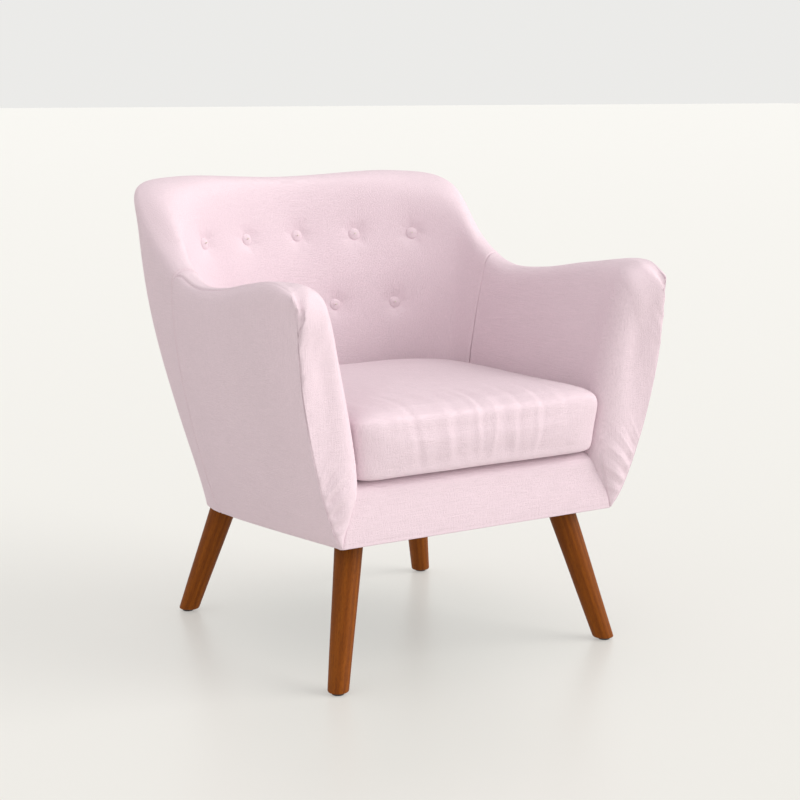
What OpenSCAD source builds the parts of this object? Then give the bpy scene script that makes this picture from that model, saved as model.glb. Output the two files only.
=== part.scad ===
// Upholstered tub armchair: timber seat and back frame, webbing, foam, sewn covers,
// a loose seat cushion and four splayed turned legs.
// Millimetres, +Z up, front of the chair towards -Y, origin on the floor under the middle of the plan.

/* [Whole chair] */
// Overall width across the arm fronts
overall_w = 770; // [720:1:830]
// Overall depth from arm front to back
overall_d = 710; // [660:1:760]
// Overall height to the corners of the back
overall_h = 787; // [740:1:830]

/* [Body] */
// Height of the body's lower edge at the front
lower_edge_front = 236; // [225:1:245]
// How much lower that edge is at the rear
lower_edge_fall = 27; // [0:1:30]
// Height of the seat deck
deck_z = 336; // [330:1:345]
// How far the arm fronts bulge between their seams
arm_front_bulge = 8; // [2:1:12]
// Thickness of the cover fabric
cover_t = 1.5; // [1:0.1:2]
// Thickness of the foam inside the arms
arm_foam_t = 15; // [10:1:20]
// Thickness of the foam inside the back
back_foam_t = 22; // [16:1:24]

/* [Frame] */
// Thickness of the seat rails
rail_t = 22; // [18:1:25]
// Half length of the front rail
rail_half = 234; // [220:1:238]
// Side of the square back posts
back_post_t = 20; // [18:1:24]
// Width of one webbing strap
strap_w = 44; // [35:1:50]
// Thickness of the webbing
strap_t = 2; // [1.5:0.1:3]

/* [Legs] */
// Diameter of a leg where it meets the body
leg_top_d = 47; // [40:1:52]
// Diameter of a leg at the floor end
leg_foot_d = 34; // [28:1:40]
// Sideways and lengthwise slope of each front leg
front_leg_slope = 0.247; // [0.15:0.001:0.3]
// Sideways and lengthwise slope of each rear leg
rear_leg_slope = 0.255; // [0.15:0.001:0.3]
// Height of a floor glide
glide_h = 4; // [3:0.5:6]
// Diameter of a floor glide
glide_d = 20; // [16:1:26]
// Diameter of a hanger bolt
bolt_d = 8; // [6:1:10]

/* [Seat cushion] */
// Thickness of the cushion at its edge
cushion_t = 104; // [90:1:115]
// Crown of the cushion above its edge
cushion_crown = 20; // [8:1:26]

/* [Buttons] */
// Diameter of a covered button
button_d = 23; // [18:0.5:28]
// Height of the upper row of buttons
button_row_1 = 673; // [650:1:690]
// Height of the lower row of buttons
button_row_2 = 545; // [520:1:570]

/* [Hidden] */
sx = overall_w / 770;
sy = overall_d / 710;
sz = overall_h / 787;
y_mid = 83.83 * sy;
gap = 0.4;
corner = 8;
seam_u = 4.5;
back_seam_u = 6.3;
top_seam = 1.85;

// Loft rows, one value per station: arm front, arm crest, arm, arm dip, wing foot, wing, rear corner,
// quarter and middle of the back. The other half mirrors them.
ridge_x = sx * [342, 346, 336, 325, 321, 323, 326, 228, 0];
ridge_y = sy * [-262, -205, -100, 20, 125, 215, 322, 378, 405];
ridge_z = sz * [640, 658, 643, 624, 623.5, 668, 763, 787, 779];
outer_x = sx * [358, 383, 371, 357, 347, 343, 336, 245, 0];
outer_y = sy * [-271, -200, -100, 20, 128, 225, 330, 410, 437];
lower_x = sx * [268, 268, 271, 273, 270, 262, 228, 130, 0];
lower_y = sy * [-248, -200, -100, 20, 125, 205, 278, 312, 320];
inner_x = sx * [296, 301, 302, 295, 292, 296, 288, 190, 0];
inner_y = sy * [-235, -195, -100, 20, 120, 190, 262, 330, 372];
deck_x = sx * [244, 240, 240, 244, 246, 240, 215, 140, 0];
deck_y = sy * [-235, -195, -100, 20, 110, 162, 200, 235, 247];

function fall(y) = lower_edge_front - lower_edge_fall * max(0, y + 248) / 540;

function station(a, u, m) =
    let (n = len(a) - 1, i = min(floor(u), n - 1), t = u - i)
    let (p1 = a[i], p2 = a[i + 1])
    let (p0 = i > 0 ? a[i - 1] : 2 * a[0] - a[1])
    let (p3 = i < n - 1 ? a[i + 2] : m * a[n - 1])
    0.5 * (2 * p1 + (p2 - p0) * t + (2 * p0 - 5 * p1 + 4 * p2 - p3) * t * t
        + (3 * p1 - p0 - 3 * p2 + p3) * t * t * t);
function side(u) = u > corner ? -1 : 1;
function fold(u) = u > corner ? 2 * corner - u : u;
function row_x(a, u) = side(u) * station(a, fold(u), -1);
function row_y(a, u) = station(a, fold(u), 1);
function step01(x) = let (t = min(max(x, 0), 1)) t * t * (3 - 2 * t);
function mix(a, b, t) = a + (b - a) * t;
function toward(a, b, d) = a + (b - a) * d / max(norm(b - a), 0.001);

// How the outer wall swells from the lower edge (0) to the arm top (1), flatter towards the rear.
function swell(u, w) = mix(pow(sin(90 * w), 0.75), pow(sin(90 * w), 1.15), step01((fold(u) - 3.5) / 2));
function shoulder_z(u) = row_y(ridge_z, u) - 22;

function outer_pt(u, w) =
    let (k = swell(u, w), e = mix(k, w, step01((fold(u) - 4) / 3)), y0 = row_y(lower_y, u))
    let (z0 = fall(y0))
    [mix(row_x(lower_x, u), row_x(outer_x, u), k), mix(y0, row_y(outer_y, u), e), mix(z0, shoulder_z(u), w)];
function inner_pt(u, w) =
    let (k = pow(w, 1.25))
    [mix(row_x(deck_x, u), row_x(inner_x, u), k), mix(row_y(deck_y, u), row_y(inner_y, u), w),
        mix(deck_z - 1, shoulder_z(u), w)];
function arch_pt(u, a) =
    let (o = outer_pt(u, 1), i = inner_pt(u, 1), m = (o + i) / 2)
    let (r = [row_x(ridge_x, u), row_y(ridge_y, u), row_y(ridge_z, u)])
    m + (o - m) * cos(180 * a) + (r - m) * pow(abs(sin(180 * a)), 0.85);

// A point of the wall: s 0..1 up the inside, 1..2 over the top, 2..3 down the outside, sunk by depth d.
function wall_pt(u, s, d) =
    s < 0 ? inner_pt(u, 0) + [side(u) * d, 0, 75 * s]
    : s <= 1 ? toward(inner_pt(u, s), outer_pt(u, min(1, 0.25 + 0.75 * s)), d)
    : s < 2 ? toward(arch_pt(u, 2 - s), mix(inner_pt(u, 1), outer_pt(u, 1), 0.5) - [0, 0, 6], d)
    : toward(outer_pt(u, 3 - s), inner_pt(u, max(0, 3 - s - 0.25)), d);

// The arm front between its outer seam (c = 0) and its inner edge (c = 1); v runs from the tip to the top.
function front_left(v) = v < 0.85 ? outer_pt(0, v / 0.85) : arch_pt(0, (v - 0.85));
function front_right(v) =
    let (s = 2.85 * v - 1)
    s < 0 ? mix(outer_pt(0, 0), inner_pt(0, 0), step01(1 + s) * 0.35 + (1 + s) * 0.65)
    : s <= 1 ? inner_pt(0, s)
    : arch_pt(0, 2 - s);
function front_pt(v, c, d) =
    mix(front_left(v), front_right(v), c)
    + [0, d - arm_front_bulge * 4 * c * (1 - c) * pow(max(0, sin(180 * v)), 0.5), 0];

// A closed sheet between two grids of points, made of the cells that keep() lets through.
module sheet(top, under, cells, flip = false, loop = false) {
    n = len(top[0]);
    m = len(top);
    pts = [for (r = top, p = r) p, for (r = under, p = r) p];
    function q(i, j) = i * n + j;
    function b(i, j) = m * n + i * n + j;
    function on(i, j) =
        i >= 0 && i < m - 1 && (loop || (j >= 0 && j < n - 1)) && cells[i][(j + n - 1) % (n - 1)];
    tri = [
        for (i = [0:m - 2], j = [0:n - 2]) if (on(i, j)) each concat(
            [[q(i, j), q(i + 1, j), q(i + 1, j + 1)], [q(i, j), q(i + 1, j + 1), q(i, j + 1)]],
            [[b(i, j), b(i + 1, j + 1), b(i + 1, j)], [b(i, j), b(i, j + 1), b(i + 1, j + 1)]],
            on(i, j - 1) ? [] : [[q(i + 1, j), q(i, j), b(i, j)], [q(i + 1, j), b(i, j), b(i + 1, j)]],
            on(i, j + 1) ? [] : [[q(i, j + 1), q(i + 1, j + 1), b(i + 1, j + 1)],
                [q(i, j + 1), b(i + 1, j + 1), b(i, j + 1)]],
            on(i + 1, j) ? [] : [[q(i + 1, j + 1), q(i + 1, j), b(i + 1, j)],
                [q(i + 1, j + 1), b(i + 1, j), b(i + 1, j + 1)]],
            on(i - 1, j) ? [] : [[q(i, j), q(i, j + 1), b(i, j + 1)], [q(i, j), b(i, j + 1), b(i, j)]])
    ];
    polyhedron(points = pts, faces = flip ? [for (t = tri) [t[0], t[2], t[1]]] : tri, convexity = 6);
}
function all_cells(r, c) = [for (i = [1:r - 1]) [for (j = [1:c - 1]) true]];
function span(a, b, n) = [for (i = [0:n]) a + (b - a) * i / n];
module wall_sheet(us, ss, d0, d1) {
    sheet([for (s = ss) [for (u = us) wall_pt(u, s, d0)]], [for (s = ss) [for (u = us) wall_pt(u, s, d1)]],
        all_cells(len(ss), len(us)), flip = true);
}
module mirrored(left) {
    mirror([left ? 1 : 0, 0, 0]) children();
}
module placed() {
    translate([0, -y_mid, 0]) children();
}

// Buttons: 5 in the upper row and 4 in the lower one, each square to the padded surface.
pitch = 57 * sx;
buttons = [for (k = [-2:2]) [(abs(k) == 2 ? 1.91 : 2) * k * pitch, button_row_1],
    for (k = [-1.5, -0.5, 0.5, 1.5]) [2 * k * pitch, button_row_2]];
function height_w(u, z) = (z - deck_z + 1) / (shoulder_z(u) - deck_z + 1);
function seek(x, z, lo, hi, n) =
    let (u = (lo + hi) / 2)
    n == 0 ? u : inner_pt(u, height_w(u, z))[0] > x ? seek(x, z, u, hi, n - 1) : seek(x, z, lo, u, n - 1);
function unit(v) = v / norm(v);
function button_at(b) =
    let (u = seek(b[0], b[1], 5, 11, 18), w = height_w(u, b[1]), p = inner_pt(u, w))
    let (n = unit(cross(inner_pt(u + 0.05, w) - p, inner_pt(u, w + 0.02) - p)))
    [p, n[1] < 0 ? n : -n];
module at_button(b) {
    f = button_at(b);
    translate(f[0]) rotate([0, acos(f[1][2]), atan2(f[1][1], f[1][0])]) children();
}
module twine_holes(d) {
    for (b = buttons) at_button(b) translate([0, 0, -70]) cylinder(d = d, h = 80, $fn = 24);
}

// ---- timber frame ----
rail_top = deck_z - 14;
front_rail_y = -227;
rear_rail_y = 212;
block_y = [front_rail_y + rail_t + gap, rear_rail_y + rail_t + gap];
module front_rail() {
    color("BurlyWood") placed() translate([-rail_half, front_rail_y, lower_edge_front + 3])
        cube([2 * rail_half, rail_t, rail_top - lower_edge_front - 3]);
}
module rear_rail() {
    half = rail_half - rail_t - gap;
    color("BurlyWood") placed() translate([-half, rear_rail_y, fall(rear_rail_y) + 3])
        cube([2 * half, rail_t, rail_top - fall(rear_rail_y) - 3]);
}
module side_rail(left) {
    y0 = block_y[0] + 55;
    y1 = block_y[1] - gap;
    color("BurlyWood") placed() mirrored(left) translate([rail_half - rail_t, 0, 0]) rotate([90, 0, 90])
        linear_extrude(height = rail_t)
            polygon([[y0, fall(y0) + 3], [y1, fall(y1) + 3], [y1, rail_top], [y0, rail_top]]);
}
module corner_block(left, rear) {
    p = rear ? rear_top : front_top;
    size = rear ? [58, 38, 46] : [68, 54, 46];
    color("Tan") placed() mirrored(left) difference() {
        translate([168, block_y[rear ? 1 : 0], p[2] + gap]) cube(size);
        translate(p) leg_axis(rear) translate([0, 0, -20]) cylinder(d = bolt_d + 0.1, h = 90, $fn = 48);
        translate(p) leg_axis(rear) translate([0, 0, 26]) cylinder(d = bolt_d + 20, h = 40, $fn = 48);
    }
}
module arm_post(left) {
    color("BurlyWood") placed() mirrored(left) translate([258, -225, lower_edge_front + 6])
        rotate([0, 10.2, 0]) translate([-10, 0, 4]) cube([20, 38, 316]);
}
module arm_rail(left) {
    color("BurlyWood") placed() mirrored(left) translate([311, -225, 566]) cube([27, 402, 18]);
}
post_foot = [244.5, 241, 252];
post_lean = [48, 66, 485];
module back_post(left) {
    l = norm(post_lean);
    color("BurlyWood") placed() mirrored(left) translate(post_foot)
        rotate([0, acos(post_lean[2] / l), atan2(post_lean[1], post_lean[0])])
            rotate([0, 0, 36]) translate([-back_post_t / 2, -back_post_t / 2, 0])
                cube([back_post_t, back_post_t, l]);
}
back_centre = [0, -250, 0];
lower_r = 587;
upper_r = 652;
lower_z = 400;
upper_z = 700;
module arc_rail(r, z, half, h) {
    color("BurlyWood") placed() translate(back_centre + [0, 0, z]) rotate([0, 0, 90 - half])
        rotate_extrude(angle = 2 * half, $fn = 180) translate([r - 10, 0]) square([20, h]);
}
module back_lower_rail() {
    arc_rail(lower_r, lower_z, 22.4, 45);
}
module back_top_rail() {
    arc_rail(upper_r, upper_z, 23.2, 45);
}

// ---- webbing ----
module seat_webbing() {
    color("Sienna") placed() for (k = [-2:2])
        translate([k * 84 - strap_w / 2, -225, rail_top + gap]) cube([strap_w, 458, strap_t]);
}
module cross_webbing() {
    color("Sienna") placed() for (k = [-1.5, -0.5, 0.5, 1.5])
        translate([-232, k * 100 - strap_w / 2, rail_top + 2 * gap + strap_t]) cube([464, strap_w, strap_t]);
}
strap_lean = atan((upper_r - lower_r) / (upper_z - lower_z));
strap_r = lower_r - 10 - strap_t - 45 * tan(strap_lean);
module back_webbing() {
    color("Sienna") placed() difference() {
        for (k = [-4:4]) translate(back_centre) rotate([0, 0, -5.3 * k])
            translate([-20, strap_r, lower_z + 2]) rotate([-strap_lean, 0, 0])
                cube([40, strap_t, 342]);
        twine_holes(3);
    }
}

// ---- foam ----
module seat_pad() {
    color("LightYellow") placed() translate([0, 0, rail_top + 2 * strap_t + 3 * gap]) linear_extrude(height = 5.6)
        polygon([[-234, -207], [234, -207], [237, 100], [222, 180], [190, 206], [130, 228], [-130, 228],
            [-190, 206], [-222, 180], [-237, 100]]);
}
arm_us = [0.35, 0.8, 1.4, 2, 2.6, 3.2, 3.8];
half_us = [4.75, 5, 5.33, 5.66, 6, back_seam_u, 6.65, 7, 7.33, 7.66];
module arm_foam(left) {
    color("LightYellow") placed() mirrored(left)
        wall_sheet(concat(arm_us, [4.4]), [0.05, 0.25, 0.5, 0.75, 1, 1.2, 1.4, 1.6], 3, arm_foam_t);
}
module back_foam() {
    us = concat([4.6], half_us, [8], [for (i = [len(half_us) - 1:-1:0]) 16 - half_us[i]], [11.4]);
    ss = [0.05, 0.2, 0.4, 0.6, 0.8, 1, 1.15, 1.3, 1.5, 1.7];
    color("LightYellow") placed() difference() {
        sheet([for (s = ss) [for (u = us) wall_pt(u, s, 3)]],
            [for (s = ss) [for (u = us) wall_pt(u, s, s <= 1 ? back_foam_t : 15)]],
            all_cells(len(ss), len(us)), flip = true);
        twine_holes(4);
    }
}
module arm_front_pad(left) {
    vs = [for (s = [-0.6, -0.3, 0, 0.25, 0.5, 0.75, 1]) (s + 1) / 2.85];
    cs = [0.15, 0.35, 0.6, 0.85];
    color("LightYellow") placed() mirrored(left) sheet([for (v = vs) [for (c = cs) front_pt(v, c, 3)]],
        [for (v = vs) [for (c = cs) front_pt(v, c, 11)]], all_cells(7, 4), flip = true);
}
module outer_pad(left) {
    color("LightYellow") placed() mirrored(left) wall_sheet(concat(arm_us, [4.4]),
        [2, 2.15, 2.3, 2.45, 2.6, 2.75], 3, 8);
}
module outside_back_pad() {
    color("LightYellow") placed() wall_sheet(span(back_seam_u + 0.02, 16 - back_seam_u - 0.02, 12),
        [2, 2.2, 2.4, 2.6, 2.8], 3, 7);
}
module front_rail_pad() {
    color("LightYellow") placed() rail_sheet(2, 5.5, 2.5, [0.05, 0.2, 0.4, 0.6, 0.78]);
}

// ---- covers ----
module inside_back_cover() {
    us = concat([seam_u], half_us, [8], [for (i = [len(half_us) - 1:-1:0]) 16 - half_us[i]], [16 - seam_u]);
    ss = [0, 0.2, 0.4, 0.6, 0.8, 1, 1.15, 1.3, 1.5, 1.7, top_seam, 2, 2.2, 2.4, 2.6, 2.8, 3];
    cells = [for (i = [0:len(ss) - 2]) [for (j = [0:len(us) - 2])
        ss[i] < top_seam - 0.01 || us[j] < back_seam_u - 0.01 || us[j] > 16 - back_seam_u - 0.01]];
    color("Pink") placed() difference() {
        sheet([for (s = ss) [for (u = us) wall_pt(u, s, 0)]],
            [for (s = ss) [for (u = us) wall_pt(u, s, cover_t)]], cells, flip = true);
        twine_holes(3);
    }
}
module outside_back_panel() {
    color("Pink") placed() wall_sheet(span(back_seam_u + 0.02, 16 - back_seam_u - 0.02, 12),
        [top_seam + 0.03, 2, 2.2, 2.4, 2.6, 2.8, 3], 0, cover_t);
}
module inside_arm_cover(left) {
    cs = [0, 0.15, 0.35, 0.6, 0.85];
    us = concat([0], arm_us, [seam_u - 0.03]);
    ss = [-1, -0.6, -0.3, 0, 0.25, 0.5, 0.75, 1, 1.2, 1.4, 1.6, top_seam];
    function pt(s, u, d) =
        u <= 0 ? front_pt((s + 1) / 2.85, 1, d)
        : s < 0 ? mix(front_pt((s + 1) / 2.85, 1, d), wall_pt(u, s, d), u < 0.5 ? 0.8 : 1)
        : wall_pt(u, s, d);
    color("Pink") placed() mirrored(left) sheet(
        [for (s = ss) concat([for (c = cs) front_pt((s + 1) / 2.85, c, 0)], [for (u = us) pt(s, u, 0)])],
        [for (s = ss) concat([for (c = cs) front_pt((s + 1) / 2.85, c, cover_t)],
            [for (u = us) pt(s, u, cover_t)])],
        all_cells(len(ss), len(cs) + len(us)), flip = true);
}
module outside_arm_panel(left) {
    color("Pink") placed() mirrored(left) wall_sheet(concat([0.06], arm_us, [seam_u - 0.03]),
        [top_seam + 0.03, 2, 2.15, 2.3, 2.45, 2.6, 2.75, 2.9, 3], 0, cover_t);
}
// The front rail's face: t 0..1 from its lower edge up, over the top and back to the deck.
function rail_pt(t, x, d) =
    let (z = lower_edge_front + t * 108, edge = front_right(min(0.35, max(0, t * 0.37))))
    let (k = step01((t - 0.8) / 0.2), half = edge[0] - 2)
    [x * half, mix(edge[1] + 0.4, -212, k) + d * (1 - k), min(z, deck_z - 1) - d * k];
module rail_sheet(d0, d1, inset, ts) {
    xs = span(-1 + inset / 200, 1 - inset / 200, 6);
    sheet([for (t = ts) [for (x = xs) rail_pt(t, x, d0)]], [for (t = ts) [for (x = xs) rail_pt(t, x, d1)]],
        all_cells(len(ts), 7), flip = false);
}
module front_rail_cover() {
    color("Pink") placed() rail_sheet(0, cover_t, 0, [0, 0.2, 0.4, 0.6, 0.8, 0.86, 0.93, 1]);
}
module deck_cloth() {
    color("MistyRose") placed() translate([0, 0, deck_z - 1.2]) linear_extrude(height = 1.2)
        polygon([[-236, -209], [236, -209], [239, 100], [224, 182], [192, 208], [130, 230], [-130, 230],
            [-192, 208], [-224, 182], [-239, 100]]);
}
module dust_cover() {
    a = atan(lower_edge_fall / 540);
    color("DimGray") placed() difference() {
        translate([0, -248, lower_edge_front + 0.2]) rotate([-a, 0, 0]) linear_extrude(height = 1)
            polygon([for (u = span(0, 16, 32)) [0.984 * row_x(lower_x, u),
                0.984 * (row_y(lower_y, u) + 248) + 4.5]]);
        for (x = [-1, 1]) {
            translate([x * front_top[0], front_top[1], 150]) cylinder(d = leg_top_d + 5, h = 150, $fn = 64);
            translate([x * rear_top[0], rear_top[1], 150]) cylinder(d = leg_top_d + 5, h = 150, $fn = 64);
        }
    }
}

// ---- buttons ----
// Length of a button's twine, from the surface through the foam to just behind the strap, along its normal.
function twine_len(b) =
    let (f = button_at(b), q = f[0] - back_centre, rp = norm([q[0], q[1]]), k = tan(strap_lean))
    let (nr = (f[1][0] * q[0] + f[1][1] * q[1]) / rp)
    (strap_r + strap_t + 3 + (q[2] - lower_z - 2) * k - rp) / (f[1][2] * k - nr);
module back_buttons() {
    r = button_d / 2;
    color("HotPink") placed() for (b = buttons) at_button(b) translate([0, 0, 1.4])
        rotate_extrude($fn = 72) polygon([[0, 0], [r - 1.5, 0], [r, 1.8], [r - 0.6, 3.6], [r - 3, 5], [r - 7, 6],
            [0, 6.4]]);
}
module button_twines() {
    color("Ivory") placed() for (b = buttons) at_button(b) translate([0, 0, -twine_len(b) - 0.4])
        cylinder(d = 2, h = twine_len(b) + 1.6, $fn = 24);
}
module twine_anchors() {
    color("Ivory") placed() for (b = buttons) at_button(b) translate([0, 0, -twine_len(b) - 2.6])
        cylinder(d = 14, h = 2, $fn = 48);
}

// ---- legs ----
front_foot = [270, -235, 0];
rear_foot = [256, 318, 0];
front_top = front_foot + [-front_leg_slope, front_leg_slope, 1] * (fall(-216) + 1.6);
rear_top = rear_foot + [-rear_leg_slope, -rear_leg_slope, 1] * (fall(219) + 1.6);
module leg_axis(rear) {
    k = rear ? rear_leg_slope : front_leg_slope;
    d = [-k, rear ? -k : k, 1];
    rotate([0, acos(1 / norm(d)), atan2(d[1], d[0])]) children();
}
module leg(left, rear) {
    foot = rear ? rear_foot : front_foot;
    top = rear ? rear_top : front_top;
    l = norm(top - foot);
    color("SaddleBrown") placed() mirrored(left) difference() {
        translate(foot) leg_axis(rear) translate([0, 0, -20])
            cylinder(d1 = leg_foot_d - 1, d2 = leg_top_d + 1, h = l + 40, $fn = 96);
        translate(top + [-60, -60, 0]) cube([120, 120, 60]);
        translate(foot + [-60, -60, -60 + glide_h]) cube([120, 120, 60]);
        translate(top) leg_axis(rear) translate([0, 0, -42]) cylinder(d = bolt_d + 0.1, h = 60, $fn = 48);
        translate(foot) cylinder(d = 3.1, h = 22, $fn = 24);
    }
}
module glide(left, rear) {
    foot = rear ? rear_foot : front_foot;
    color("Black") placed() mirrored(left) translate(foot) union() {
        rotate_extrude($fn = 72) polygon([[0, 0], [glide_d / 2 - 0.8, 0], [glide_d / 2, 0.8],
            [glide_d / 2, glide_h - 0.1], [0, glide_h - 0.1]]);
        translate([0, 0, 1]) cylinder(d = 3, h = 19, $fn = 24);
    }
}
module hanger_bolts() {
    color("Silver") placed() for (m = [false, true], rear = [false, true]) mirrored(m)
        translate(rear ? rear_top : front_top) leg_axis(rear) translate([0, 0, -40])
            cylinder(d = bolt_d, h = 73, $fn = 48);
}
module bolt_nuts() {
    color("Silver") placed() for (m = [false, true], rear = [false, true]) mirrored(m)
        translate(rear ? rear_top : front_top) leg_axis(rear) translate([0, 0, 26.2]) difference() {
            cylinder(d = 24, h = 5, $fn = 48);
            translate([0, 0, -1]) cylinder(d = bolt_d + 0.1, h = 8, $fn = 48);
        }
}

// ---- loose seat cushion ----
cushion_z = deck_z + 0.5;
rear_flat = 234;
cushion_half = [[0, -257], [120, -257.5], [215, -254], [236, -243], [242.5, -215], [243, -140], [243.5, -40],
    [243, 50], [241, 110], [234, 160], [213, 195], [175, 219], [125, rear_flat], [60, rear_flat]];
outline = concat(cushion_half, [[0, rear_flat]],
    [for (i = [len(cushion_half) - 1:-1:1]) [-cushion_half[i][0], cushion_half[i][1]]], [cushion_half[0]]);
function ring(inset, z) = [for (p = outline) let (k = 1 - inset / 240)
    [p[0] * sx * k, (p[1] + 12) * k - 12, cushion_z + z]];
// Rows of [inset, height] from the middle of the underside round to the middle of the top.
under_rows = [[240, 0], [120, 0], [14, 0], [7, 3]];
upper_rows = [[6, 4], [1.5, 14], [-1, 34], [-4.5, cushion_t * 0.62], [-6.5, cushion_t * 0.79],
    [-4, cushion_t * 0.91], [5, cushion_t * 0.98], [19, cushion_t + 3], [60, cushion_t + cushion_crown * 0.45],
    [120, cushion_t + cushion_crown * 0.82], [240, cushion_t + cushion_crown]];
module ring_sheet(rows, d) {
    inner = [for (r = rows) [min(240, r[0] + d * (r[0] > 100 ? 0 : 1)),
        r[1] < 40 ? max(r[1], d) : r[1] - d * (r[0] > 8 ? 1 : 0.5)]];
    sheet([for (r = rows) ring(r[0], r[1])], [for (r = inner) ring(r[0], r[1])],
        all_cells(len(rows), len(outline)), flip = true, loop = true);
}
module cushion_top_cover() {
    color("LightPink") placed() ring_sheet(upper_rows, cover_t);
}
module cushion_bottom_cover() {
    color("LightPink") placed() ring_sheet(under_rows, cover_t);
}
module cushion_core() {
    rows = concat([[240, 2.2], [120, 2.2], [18, 2.2], [8, 8]],
        [for (i = [1:len(upper_rows) - 1]) [min(240, upper_rows[i][0] + (upper_rows[i][0] > 100 ? 0 : 3)),
            upper_rows[i][1] - (upper_rows[i][0] > 3 ? 2.6 : 0)]]);
    n = len(outline) - 1;
    pts = [for (r = rows, p = [for (k = [0:n - 1]) ring(r[0], r[1])[k]]) p];
    tri = [for (i = [0:len(rows) - 2], j = [0:n - 1]) let (a = i * n + j, b = i * n + (j + 1) % n)
        each [[a, b, b + n], [a, b + n, a + n]]];
    color("LightYellow") placed() polyhedron(points = pts, faces = [for (t = tri) [t[0], t[2], t[1]]]);
}
zip_len = 220;
zip_z = cushion_z + 50;
zip_y = rear_flat + 4.6 + gap;
module zip_tape() {
    color("White") placed() translate([-zip_len / 2, zip_y, zip_z - 10]) cube([zip_len, 1, 20]);
}
module zip_slider() {
    color("Silver") placed() translate([-95, zip_y + gap + 1, zip_z]) union() {
        translate([-5, 0, -4]) cube([10, 2.4, 8]);
        translate([-1.5, 0.4, -22]) cube([3, 1.2, 20]);
    }
}

front_rail();
rear_rail();
side_rail(true);  // side_rail_left
side_rail(false);  // side_rail_right
corner_block(true, false);  // corner_block_front_left
corner_block(false, false);  // corner_block_front_right
corner_block(true, true);  // corner_block_rear_left
corner_block(false, true);  // corner_block_rear_right
arm_post(true);  // arm_post_left
arm_post(false);  // arm_post_right
arm_rail(true);  // arm_rail_left
arm_rail(false);  // arm_rail_right
back_post(true);  // back_post_left
back_post(false);  // back_post_right
back_lower_rail();
back_top_rail();
seat_webbing();
cross_webbing();
back_webbing();
seat_pad();
arm_foam(true);  // arm_foam_left
arm_foam(false);  // arm_foam_right
back_foam();
arm_front_pad(true);  // arm_front_pad_left
arm_front_pad(false);  // arm_front_pad_right
outer_pad(true);  // outer_pad_left
outer_pad(false);  // outer_pad_right
outside_back_pad();
front_rail_pad();
inside_back_cover();
outside_back_panel();
inside_arm_cover(true);  // inside_arm_cover_left
inside_arm_cover(false);  // inside_arm_cover_right
outside_arm_panel(true);  // outside_arm_panel_left
outside_arm_panel(false);  // outside_arm_panel_right
front_rail_cover();
deck_cloth();
dust_cover();
back_buttons();
button_twines();
twine_anchors();
leg(true, false);  // leg_front_left
leg(false, false);  // leg_front_right
leg(true, true);  // leg_rear_left
leg(false, true);  // leg_rear_right
glide(true, false);  // glide_front_left
glide(false, false);  // glide_front_right
glide(true, true);  // glide_rear_left
glide(false, true);  // glide_rear_right
hanger_bolts();
bolt_nuts();
cushion_top_cover();
cushion_bottom_cover();
cushion_core();
zip_tape();
zip_slider();
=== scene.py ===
import bpy
import bmesh
import math
import numpy as np
from mathutils import Matrix, Vector
from mathutils.bvhtree import BVHTree


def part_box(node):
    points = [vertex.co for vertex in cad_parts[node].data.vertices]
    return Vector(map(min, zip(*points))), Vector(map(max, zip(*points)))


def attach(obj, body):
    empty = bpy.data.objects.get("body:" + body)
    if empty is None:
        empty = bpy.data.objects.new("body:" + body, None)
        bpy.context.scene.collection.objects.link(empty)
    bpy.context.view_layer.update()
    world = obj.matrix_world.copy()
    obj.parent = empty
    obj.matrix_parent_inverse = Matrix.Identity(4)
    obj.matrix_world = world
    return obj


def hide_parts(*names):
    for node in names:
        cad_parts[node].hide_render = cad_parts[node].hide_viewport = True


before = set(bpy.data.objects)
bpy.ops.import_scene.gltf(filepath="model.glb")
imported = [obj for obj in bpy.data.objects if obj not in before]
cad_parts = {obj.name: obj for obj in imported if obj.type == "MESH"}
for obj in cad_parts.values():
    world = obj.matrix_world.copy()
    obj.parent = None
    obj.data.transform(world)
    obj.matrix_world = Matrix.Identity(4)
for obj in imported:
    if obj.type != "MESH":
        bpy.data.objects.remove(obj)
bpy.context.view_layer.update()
Y_MID = 83.83           # the loft's own origin, in the part's frame

# ------------------------------------------------------------------ loft of the body, in millimetres
RIDGE = [[342, 346, 336, 325, 321, 323, 326, 228, 0], [-262, -205, -100, 20, 125, 215, 322, 378, 405],
         [640, 658, 643, 624, 623.5, 668, 763, 787, 779]]
OUTER = [[358, 383, 371, 357, 347, 343, 336, 245, 0], [-271, -200, -100, 20, 128, 225, 330, 410, 437]]
LOWER = [[268, 268, 271, 273, 270, 262, 228, 130, 0], [-248, -200, -100, 20, 125, 205, 278, 312, 320]]
INNER = [[296, 301, 302, 295, 292, 296, 288, 190, 0], [-235, -195, -100, 20, 120, 190, 262, 330, 372]]
DECK = [[244, 240, 240, 244, 246, 240, 215, 140, 0], [-235, -195, -100, 20, 110, 162, 200, 235, 247]]
DECK_Z = 336.0
SHOULDER = 22.0         # how far the walls stop below the ridge, where the arch starts
TUCK = 75.0             # how far the arm covers run on below the deck
CLOTH = 2.0             # thickness of a cover
# u counts the columns round the chair, s runs 0..1 up the inside, 1..2 over the top and 2..3 down the outside
SEAM_U, BACK_U = 4.485, 6.31          # the seams between arm and back, and between back and outside back
TOP_S, ARM_TOP = 1.865, 2.10          # the outside back's top edge, and the arm's top seam at the front
CREASE_W = 0.70                       # how far up the crease the arm front's own side reaches
LEAF_MM, ARM_MM, BACK_MM = 46, 105, 118   # mm per column across the arm front, along the arm and round the back


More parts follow.
